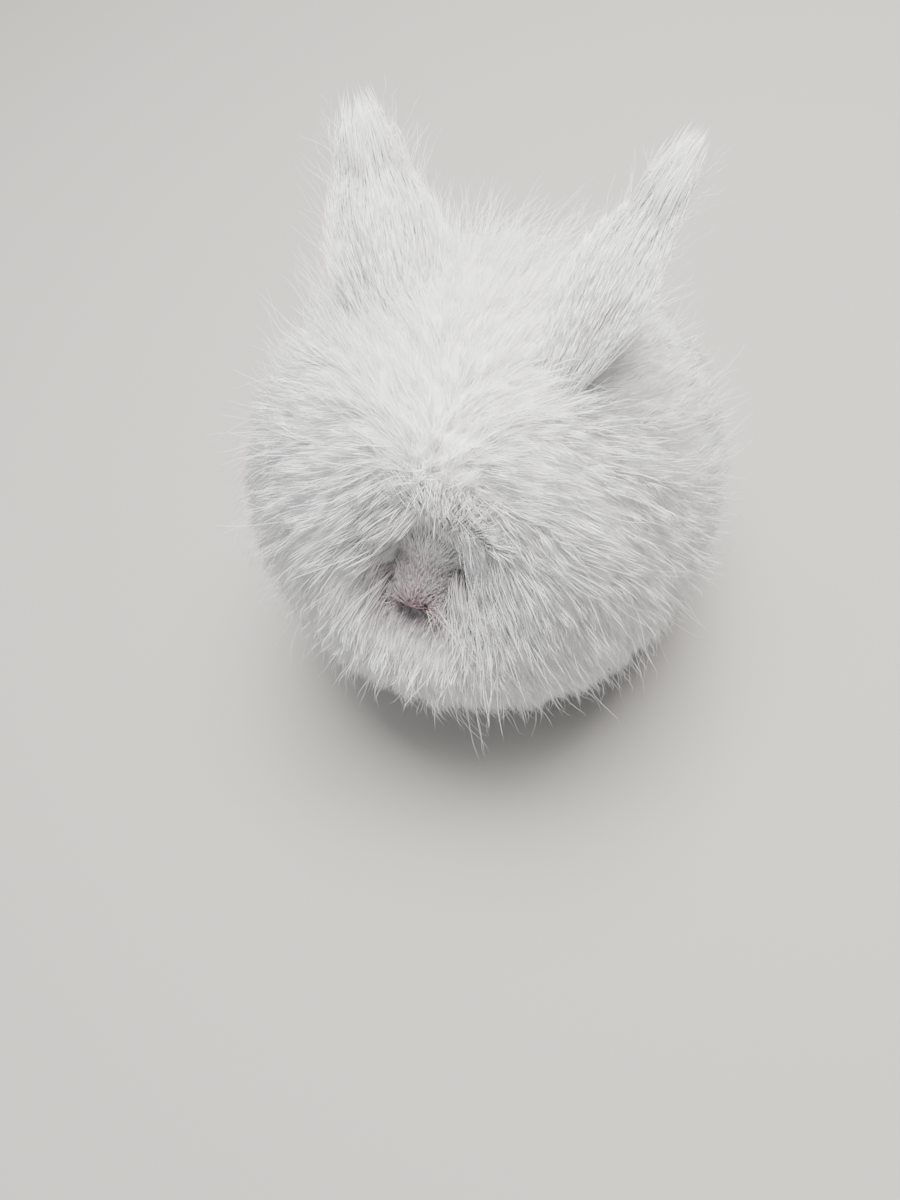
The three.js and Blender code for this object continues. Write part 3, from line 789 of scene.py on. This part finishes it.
deeper[stray] = random.uniform(*wool["strayOut"], stray.sum())
tips = tips + outs * (deeper + clumpRise[clumpOf] - 1.0)[:, None]
bends = tips - (flow * np.cos(lift) + outs * np.sin(lift)) * (length * 0.5)[:, None]
steep = math.radians(wool["steep"])
targets = bends - (flow * math.cos(steep) + outs * math.sin(steep)) * (length * 0.5)[:, None]
roots, rootNormals, rootUv = rootsBelow(targets)
onNose = np.linalg.norm(roots - noseAt, axis=1) < pit["bare"]  # these grow from the throat instead
throatRoots = rootsBelow(targets[onNose] + np.array(pit["throat"]))
roots[onNose], rootNormals[onNose], rootUv[onNose] = throatRoots
widths = random.uniform(*wool["width"], len(ends))
widths[stray] = wool["strayWidth"]
middles = 0.25 * roots + 0.5 * bends + 0.25 * tips
clear = np.linalg.norm(roots - noseAt, axis=1) > pit["bare"]
clear &= ~inPit(middles, -pit["middlesClear"]) & ~inPit(bends, -pit["bendsClear"])
tips[:, 2] = np.maximum(tips[:, 2], wool["ground"])
bends[:, 2] = np.maximum(bends[:, 2], wool["ground"])
# Tone of each wool tuft: partly random, partly painted shade, as tufts whose tips lie deeper in the coat get
# a darker white
toneAndDepthShade = 0.5 + 0.5 * np.tanh(0.05 * deeper + random.normal(0, 0.5, len(ends)) + 0.3 * clumpTurn[clumpOf])
print("wool tufts:", clear.sum())
woolTips = tips

regions = {
    "wool_crown": (0, 30, 245),
    "wool_brow": (10, -75, 225),
    "wool_left_cheek": (100, -60, 170),
    "wool_right_cheek": (-90, -70, 170),
    "wool_breast": (0, -110, 70),
    "wool_left_flank": (115, 30, 90),
    "wool_right_flank": (-115, 30, 90),
    "wool_back": (0, 100, 170),
    "wool_rump": (0, 140, 50),
}
seeds = np.array(list(regions.values()), float)
regionOf = np.argmin(np.linalg.norm(tips[:, None, :] - seeds[None], axis=2), axis=1)


# Finishes

def calculate(material, operation, first, second):
    return addNode(material, "ShaderNodeMath", {0: first, 1: second}, operation=operation).outputs[0]


def attributeOf(material, name):
    return addNode(material, "ShaderNodeAttribute", attribute_name=name).outputs["Fac"]


def rangeOf(material, value, **limits):
    settings = {key.replace("_", " "): limit for key, limit in limits.items()}
    return addNode(material, "ShaderNodeMapRange", {"Value": value, **settings}).outputs["Result"]


def bump(material, shader, height, strength, distance):
    # distance is in millimetres
    node = addNode(material, "ShaderNodeBump", {
        "Height": height, "Strength": strength, "Distance": distance * mm,
    })
    plug(material, node.outputs[0], shader.inputs["Normal"])


def distanceFrom(material, points, near, far):
    # 1 at any of the points, falling to 0 between the near and far distances in millimetres
    place = addNode(material, "ShaderNodeTexCoord").outputs["Object"]
    result = None
    for point in points:
        length = addNode(material, "ShaderNodeVectorMath", {0: place, 1: tuple(toFrame(point))},
                         operation="DISTANCE").outputs["Value"]
        result = length if result is None else calculate(material, "MINIMUM", result, length)
    return addNode(material, "ShaderNodeMapRange", {
        "Value": result, "From Min": near * mm, "From Max": far * mm, "To Min": 1.0, "To Max": 0.0,
    }, interpolation_type="SMOOTHSTEP").outputs["Result"]


def mixColours(material, factor, first, second, blend="MIX"):
    mix = addNode(material, "ShaderNodeMix", {"Factor": factor}, data_type="RGBA", blend_type=blend)
    for socket, colour in ((mix.inputs[6], first), (mix.inputs[7], second)):
        if isinstance(colour, bpy.types.NodeSocket):
            plug(material, colour, socket)
        else:
            socket.default_value = srgb(colour)
    return mix.outputs[2]


def noise(material, size, detail=3.0, roughness=0.55, stretch=(1, 1, 1)):
    # size is the width of one mottle in millimetres
    place = addNode(material, "ShaderNodeTexCoord").outputs["Object"]
    scaled = addNode(material, "ShaderNodeMapping", {"Vector": place, "Scale": stretch})
    return addNode(material, "ShaderNodeTexNoise", {
        "Vector": scaled.outputs[0], "Scale": 1 / (size * mm), "Detail": detail, "Roughness": roughness,
    }).outputs["Fac"]


noseSpots = [headToBody(np.add(p, pose["muzzle"])) for p in ((0, -87, 160), (0, -80, 166))]
# Partly the mauve of the nose, partly painted shade: these colours are greyer and darker than the mauve
# itself, for the shaded pit round the nose
noseMauveAndPitShade = {"nose": "#8B6E76", "noseBridge": "#A9979C"}


def markedAndPitShaded(material, white, thin=1.0):
    # The mauve nose of a white rabbit shows through the thin fur of the muzzle; both colours are also greyed
    # and darkened as painted shade of the pit round the nose
    bridge = distanceFrom(material, noseSpots, 11, 30)
    nose = distanceFrom(material, noseSpots[:1], 6, 15)
    if not isinstance(thin, float):
        bridge, nose = (calculate(material, "MULTIPLY", part, thin) for part in (bridge, nose))
    colour = mixColours(material, bridge, white, noseMauveAndPitShade["noseBridge"])
    return mixColours(material, nose, colour, noseMauveAndPitShade["nose"])


# Angora wool: very fine, smooth white fibres that scatter light, so matt and bright. Painted shade: the
# white is a little darker and warmer towards the roots and on tufts that end deeper in the coat
woolPaint, woolShader = newMaterial("angora wool", Roughness=0.75)
woolShader.inputs["Sheen Weight"].default_value = 0.2
woolShader.inputs["Sheen Roughness"].default_value = 0.4
woolShader.inputs["Specular IOR Level"].default_value = 0.25
# Painted shade: a low tone, which tufts ending deep in the coat get, picks the darker white
woolToneAndShade = attributeOf(woolPaint, "toneAndDepthShade")
tipWhite = mixColours(woolPaint, woolToneAndShade, "#F6F5F3", "#FDFDFD")
# Painted shade deep in the coat: the roots get the darker, warmer white
shadedRootWhite = mixColours(woolPaint, woolToneAndShade, "#F3F0EC", "#FAF8F6")
woolWhite = mixColours(woolPaint, attributeOf(woolPaint, "reach"), shadedRootWhite, tipWhite)
sparse = rangeOf(woolPaint, woolToneAndShade, To_Min=1.0, To_Max=0.25)
plug(woolPaint, markedAndPitShaded(woolPaint, woolWhite, sparse), woolShader.inputs["Base Color"])

# Skin: soft and pale pink with fine pores, nearly hidden under the wool
skinPaint, skinShader = newMaterial("rabbit skin", Roughness=0.6)
skinShader.inputs["Specular IOR Level"].default_value = 0.35
mottle = noise(skinPaint, 9)
skinWhite = mixColours(skinPaint, mottle, "#EFE2DA", "#E6D3CB")
skinColour = markedAndPitShaded(skinPaint, skinWhite)
lidGlow = distanceFrom(skinPaint, [e["middle"] for e in eyes.values()], 8.4, 11)
skinColour = mixColours(skinPaint, lidGlow, skinColour, "#D9A29C")
# Painted shade: a dark colour along the nostrils, the cleft under the nose and the line of the mouth
grooveShade = distanceFrom(skinPaint, [p for p, w in facePoints], 1.5, 2.5)
skinColour = mixColours(skinPaint, grooveShade, skinColour, "#46383A")
plug(skinPaint, skinColour, skinShader.inputs["Base Color"])
pores = noise(skinPaint, 0.9, 2.0)
bump(skinPaint, skinShader, pores, 0.35, 0.4)
paint(skin, skinPaint)

# Ear leather: thin, pink and veined inside, paler with down outside
earPaint, earShader = newMaterial("ear leather", Roughness=0.55)
vein = {"apart": 11, "line": 0.06, "strength": 0.35}
veinPlace = addNode(earPaint, "ShaderNodeTexCoord").outputs["Object"]
veins = addNode(earPaint, "ShaderNodeTexVoronoi", {
    "Vector": veinPlace, "Scale": 1 / (vein["apart"] * mm), "Randomness": 1.0,
}, feature="DISTANCE_TO_EDGE").outputs["Distance"]
veinLine = rangeOf(earPaint, veins, From_Min=0.0, From_Max=vein["line"], To_Min=1.0, To_Max=0.0)
faint = calculate(earPaint, "MULTIPLY", veinLine, vein["strength"])
earPink = mixColours(earPaint, noise(earPaint, 14), "#EDBDB4", "#E2A59C")
earPink = mixColours(earPaint, faint, earPink, "#C9746F")
earColour = mixColours(earPaint, attributeOf(earPaint, "inside"), "#F5EFEC", earPink)
plug(earPaint, earColour, earShader.inputs["Base Color"])
bump(earPaint, earShader, noise(earPaint, 1.2, 2.0), 0.3, 0.4)
for item in ears.values():
    paint(item["piece"], earPaint)

# Eye: wet cornea over a ruby iris and a deep red pupil, with a pale pink rim
eyePaint, eyeShader = newMaterial("wet ruby eye", Roughness=0.25)
eyeShader.inputs["Coat Weight"].default_value = 1.0
eyeShader.inputs["Coat Roughness"].default_value = 0.02
eyeShader.inputs["IOR"].default_value = 1.376
ramp = addNode(eyePaint, "ShaderNodeValToRGB", {"Fac": attributeOf(eyePaint, "angle")})
stops = ((0.0, "#2A0306"), (0.2, "#3A060B"), (0.24, "#8C2A30"), (0.5, "#A8474A"), (0.56, "#6B1D22"),
         (0.6, "#E6CFCB"), (1.0, "#E6CFCB"))
while len(ramp.color_ramp.elements) < len(stops):
    ramp.color_ramp.elements.new(0.5)
for element, (position, colour) in zip(ramp.color_ramp.elements, stops):
    element.position = position
    element.color = srgb(colour)
streaks = noise(eyePaint, 0.5, 2.0)
irisColour = mixColours(eyePaint, 0.25, ramp.outputs["Color"],
                        mixColours(eyePaint, streaks, "#FFFFFF", "#6A4044"), "MULTIPLY")
plug(eyePaint, irisColour, eyeShader.inputs["Base Color"])
for eye in eyes.values():
    paint(eye["piece"], eyePaint)

# Claws: pale horn, glassy, with a fine streaked grain
clawPaint, clawShader = newMaterial("claw horn", Roughness=0.35)
clawShader.inputs["Specular IOR Level"].default_value = 0.5
grain = noise(clawPaint, 0.7, 3.0, stretch=(1, 0.15, 1))
plug(clawPaint, mixColours(clawPaint, grain, "#E4D6C6", "#CDB4A4"), clawShader.inputs["Base Color"])
paint(claws, clawPaint)
print("finishes are made")


# Underwool: the fine wool that closes the coat below the ends of the tufts

under = {
    # how deep it lies below each swelling of the coat, and how much deeper in the pit, below it and low down
    "sink": (9.5, 9.5, 9.5, 7.5), "dip": 1.45, "front": 5, "low": 4,
    "voxel": 3.2, "melts": 12, "uneven": 1.4, "sole": 4,
}
deselectAll()
sunken = [(middle, np.subtract(radii, sink)) for (middle, radii), sink in zip(wool["eggs"], under["sink"])]
underwool = joinAll([addEgg(middle, radii) for middle, radii in sunken], "underwool")
remesh = underwool.modifiers.new("remesh", "REMESH")
remesh.mode = "VOXEL"
remesh.voxel_size = under["voxel"] * mm
melt = underwool.modifiers.new("melt", "SMOOTH")
melt.iterations = under["melts"]
applyAll(underwool)
places = readAll(underwool.data.vertices, "co") / mm - standsAt
uneven = np.sin(places @ np.array([0.31, 0.22, 0.27])) * np.sin(places @ np.array([-0.2, 0.33, 0.18]))
deeper = dipAt(places) * under["dip"] + uneven * under["uneven"]
turn, across = pitTurn(places)
deeper += under["front"] * smoothstep(112, 64, turn) * smoothstep(-0.3, 0.5, across @ pitDown)
places -= fromCoat(places)[1] * deeper[:, None]
places -= fromCoat(places)[1] * (under["low"] * smoothstep(45, 12, places[:, 2]))[:, None]
underwool.data.vertices.foreach_set("co", toFrame(places).ravel())
underwool.data.update()
editWhole(underwool, levelCut(under["sole"]), unwrap)
underwool.data.uv_layers[0].name = "OFBake"
finished(underwool)
underPaint, underShader = newMaterial("packed underwool", Roughness=0.9)
underShader.inputs["Specular IOR Level"].default_value = 0.1
underWhite = mixColours(underPaint, noise(underPaint, 5), "#F2EFEC", "#FBFAF9")
plug(underPaint, underWhite, underShader.inputs["Base Color"])
bump(underPaint, underShader, noise(underPaint, 1.4), 0.5, 0.8)
paint(underwool, underPaint)
print("underwool:", len(underwool.data.polygons), "faces")


# The coat pieces

for index, name in enumerate(regions):
    chosen = np.flatnonzero(clear & (regionOf == index))
    tuftMesh(name, woolPaint, {
        "root": roots[chosen] - rootNormals[chosen] * 0.8, "bend": bends[chosen], "tip": tips[chosen],
        "width": widths[chosen], "uv": rootUv[chosen], "toneAndDepthShade": toneAndDepthShade[chosen], "wave": 0.9,
    })

# Short fur of the face: it lies back from the nose and grows longer towards the wool

faceFur = {
    "count": 16000, "reach": 54, "short": 5.0, "long": 32, "width": (0.26, 0.5),
    "shortTo": 22, "sooner": 20,  # how far from the nose it stays short, and how much less far below it
    "lineGap": 0.8, "eyeGap": 2.6,
}
near = np.linalg.norm(skinMiddle - noseAt, axis=1)
ahead = (skinMiddle - headCentre) @ unit(noseAt - headCentre) > 0
roots, normals, uvs = rootsOn(((near < faceFur["reach"]) & ahead).astype(float), faceFur["count"])
distance = np.linalg.norm(roots - noseAt, axis=1)
below = smoothstep(0, 12, noseAt[2] - 3 - roots[:, 2])
sooner = faceFur["sooner"] * below
longer = smoothstep(faceFur["shortTo"] - sooner, faceFur["reach"] - sooner, distance)
lineGap = np.min([np.linalg.norm(roots - p, axis=1) - w for p, w in facePoints], axis=0)
eyeGap = np.min([np.linalg.norm(roots - e["middle"], axis=1) for e in eyes.values()], axis=0)
keep = (lineGap > faceFur["lineGap"]) & (eyeGap - pose["eyeRadius"] > faceFur["eyeGap"])
away = unit(roots - (noseAt + np.array([0, -4, -3])))
away = unit(away - normals * (away * normals).sum(1, keepdims=True) * 0.9)
away = turned(away, normals, random.normal(0, 0.16, len(roots)))
run = faceFur["short"] + (faceFur["long"] - faceFur["short"]) * longer
run = run * random.uniform(0.75, 1.25, len(roots))
stand = np.radians(12 + 32 * longer + random.uniform(-6, 8, len(roots)))[:, None]
bends = roots + (away * np.cos(stand + 0.25) + normals * np.sin(stand + 0.25)) * (run * 0.5)[:, None]
tips = bends + (away * np.cos(stand) + normals * np.sin(stand)) * (run * 0.5)[:, None]
widths = random.uniform(*faceFur["width"], len(roots)) * (0.85 + 0.6 * longer)
faceTone = random.uniform(0, 1, len(roots))
for name, chosen in (("face_fur_upper", keep & (roots[:, 2] >= noseAt[2])),
                     ("face_fur_lower", keep & (roots[:, 2] < noseAt[2]))):
    tuftMesh(name, woolPaint, {
        "root": (roots - normals * 0.5)[chosen], "bend": bends[chosen], "tip": tips[chosen],
        "width": widths[chosen], "uv": uvs[chosen], "toneAndDepthShade": faceTone[chosen], "wave": 0.35,
    })

# Feet: short flat fur along the toes

footFur = {"count": 5000, "length": (4, 8), "width": (0.45, 0.8)}
onFeet = (skinMiddle[:, 2] < 26) & (skinMiddle[:, 2] > 1.2) & (np.abs(skinMiddle[:, 0]) > 12)
onFeet &= (skinMiddle[:, 1] < 50)
roots, normals, uvs = rootsOn(onFeet.astype(float), footFur["count"])
forward = np.array([0, -1, -0.25]) - normals * (normals @ np.array([0, -1, -0.25]))[:, None]
forward = turned(unit(forward), normals, random.normal(0, 0.2, len(roots)))
run = random.uniform(*footFur["length"], len(roots))[:, None]
bends = roots + (forward * 0.88 + normals * 0.4) * run * 0.5
tips = bends + (forward * 0.98 + normals * 0.1) * run * 0.5
tips[:, 2] = np.maximum(tips[:, 2], 0.5)
tuftMesh("foot_fur_tufts", woolPaint, {
    "root": roots - normals * 0.4, "bend": bends, "tip": tips,
    "width": random.uniform(*footFur["width"], len(roots)), "uv": uvs,
    "toneAndDepthShade": random.uniform(0, 0.7, len(roots)), "wave": 0.2,
})

# Ears: fur streams up the back, with a fringe along the edges and a tuft past the tip

earFur = {
    "kinds": {
        # number, length, lean away from the leather, along the ear from and to
        "back": (3700, (15, 30), (0.02, 0.16), (0.0, 0.94)),
        "fringe": (1300, (16, 30), (0.06, 0.3), (0.1, 0.93)),
        "inside": (200, (5, 9), (0.3, 0.6), (0.3, 0.95)),
        "tuft": (380, (20, 32), (0.0, 0.16), (0.8, 0.98)),
    },
    "width": (0.3, 0.6),
}
for name, item in ears.items():
    mirror = np.array([item["side"], 1, 1])
    furRoots, furBends, furTips, furUv = [], [], [], []
    for kind, (count, lengths, leans, span) in earFur["kinds"].items():
        t = random.uniform(*span, count)
        s = random.uniform(-1, 1, count)
        if kind == "fringe":
            s = np.sign(s) * (1 - 0.18 * s ** 2)
        root = earSurface(t, s)
        out = earAcross * s[:, None] * 0.9 - earOpening * (1.05 - np.abs(s[:, None]))
        if kind == "inside":
            out = earOpening * 0.7 - earAcross * s[:, None]
        out = unit(out)
        way = earDirection + out * random.uniform(*leans, (count, 1)) + np.array([0, 0, 0.2])
        way = unit(way + random.normal(0, 0.055, (count, 3)))
        run = random.uniform(*lengths, (count, 1)) * (1 - (0.0 if kind == "tuft" else 0.42) * t[:, None])
        bend = root + unit(way + out * 0.5) * run * 0.45
        tip = bend + way * run * 0.6
        line = earMiddle(1.0) + earDirection * ((tip - earMiddle(1.0)) @ earDirection)[:, None]
        drawn = 0.85 * smoothstep(0.4, 1.0, t) * (kind != "inside")
        tip = tip + (line - tip) * (drawn * random.uniform(0.5, 1, count))[:, None]
        furRoots.append(root - out * 0.3)
        furBends.append(bend)
        furTips.append(tip)
        furUv.append(np.stack([(s + 1) / 2, t], axis=1))
    place = [headToBody(np.concatenate(p) * mirror) for p in (furRoots, furBends, furTips)]
    count = len(place[0])
    tuftMesh(name.replace("ear", "ear_fur"), woolPaint, {
        "root": place[0], "bend": place[1], "tip": place[2],
        "width": random.uniform(*earFur["width"], count), "uv": np.concatenate(furUv),
        "toneAndDepthShade": random.uniform(0.5, 1, count), "wave": 0.6,
    })

# Wisps: single long, kinky hairs that stand out of the coat, most of them on the crown and the ears

wisp = {
    "crown": (620, (0, 30, 245), 70), "all": (900, (0, 10, 150), 400),
    "length": (26, 46), "lift": (14, 52), "width": 0.26, "kink": 2.3,
    "onEar": 190, "onEarLength": 0.72, "room": (136.5, 160.0, 309.0),
    "fullness": ((0, 1), (0.14, 1), (0.28, 0.95), (0.42, 0.9), (0.56, 0.82), (0.7, 0.7), (0.84, 0.5)),
}
starts, ways, lies = [], [], []
for count, middle, reach in (wisp["crown"], wisp["all"]):
    near = np.flatnonzero(np.linalg.norm(woolTips - np.array(middle), axis=1) < reach)
    chosen = random.choice(near, count, replace=False)
    rise = np.radians(random.uniform(*wisp["lift"], (count, 1)))
    starts.append(woolTips[chosen] - outs[chosen] * 6)
    ways.append(flow[chosen] * np.cos(rise) + outs[chosen] * np.sin(rise))
    lies.append(flow[chosen])
for side in (1, -1):
    mirror = np.array([side, 1, 1])
    t, s = random.uniform(0.15, 1, wisp["onEar"]), random.choice([-1, 1], wisp["onEar"])
    s = s * random.uniform(0.7, 1, wisp["onEar"])
    out = earAcross * s[:, None]
    starts.append(headToBody(earSurface(t, s) * mirror))
    way = unit(earDirection + out * random.uniform(0.1, 0.75, (wisp["onEar"], 1)))
    ways.append(unit((way * mirror) @ headTurn.T + random.normal(0, 0.14, (wisp["onEar"], 3))))
    lies.append(ways[-1])
starts, ways, lies = (np.concatenate(p) for p in (starts, ways, lies))
run = random.uniform(*wisp["length"], (len(starts), 1))
run[-2 * wisp["onEar"]:] *= wisp["onEarLength"]
bends = starts + ways * run * 0.5
tips = bends + unit(ways + lies * 0.5 + random.normal(0, 0.2, ways.shape)) * run * 0.5
fits = (np.abs((tips + standsAt)[:, :2]) < wisp["room"][:2]).all(1)
fits &= (tips[:, 2] < wisp["room"][2]) & (tips[:, 2] > 3) & ~inPit(tips, 12)
places, normals, uvs = rootsBelow(starts)
tuftMesh("wool_wisps", woolPaint, {
    "root": starts[fits], "bend": bends[fits], "tip": tips[fits],
    "width": np.full(fits.sum(), wisp["width"]), "uv": uvs[fits],
    "toneAndDepthShade": random.uniform(0.6, 1, fits.sum()), "wave": wisp["kink"],
}, fullness=wisp["fullness"])

# Whiskers

whisker = {"perSide": 13, "length": (44, 66), "width": 0.28}
whiskerRoots, whiskerWays = [], []
for side in (1, -1):
    for i in range(whisker["perSide"]):
        across = 8 + 5 * random.uniform()
        height = 152 + 10 * random.uniform()
        hit = onFace(side * across, height)
        whiskerRoots.append(np.array(hit) / mm - standsAt)
        way = (side * random.uniform(0.4, 1.1), random.uniform(-0.6, -0.3), random.uniform(-0.8, 0.1))
        whiskerWays.append(headTurn @ np.array(way))
roots = np.array(whiskerRoots)
ways = unit(np.array(whiskerWays))
run = random.uniform(*whisker["length"], len(roots))[:, None]
bends = roots + ways * run * 0.5
tips = bends + unit(ways + np.array([0, 0, -0.42])) * run * 0.5
uvs = rootsBelow(roots)[2]
# Whiskers: smooth, stiff horn, a little darker at the root
whiskerPaint, whiskerShader = newMaterial("whisker horn", Roughness=0.4)
whiskerColour = mixColours(whiskerPaint, attributeOf(whiskerPaint, "reach"), "#E9E0D8", "#FBFAF8")
plug(whiskerPaint, whiskerColour, whiskerShader.inputs["Base Color"])
tuftMesh("whiskers", whiskerPaint, {
    "root": roots, "bend": bends, "tip": tips, "width": np.full(len(roots), whisker["width"]), "uv": uvs,
    "toneAndDepthShade": np.ones(len(roots)), "wave": 0.0,
}, fullness=((0, 1), (0.15, 0.95), (0.3, 0.85), (0.45, 0.75), (0.6, 0.62), (0.75, 0.48), (0.9, 0.3)))
print("coat and whiskers are grown")
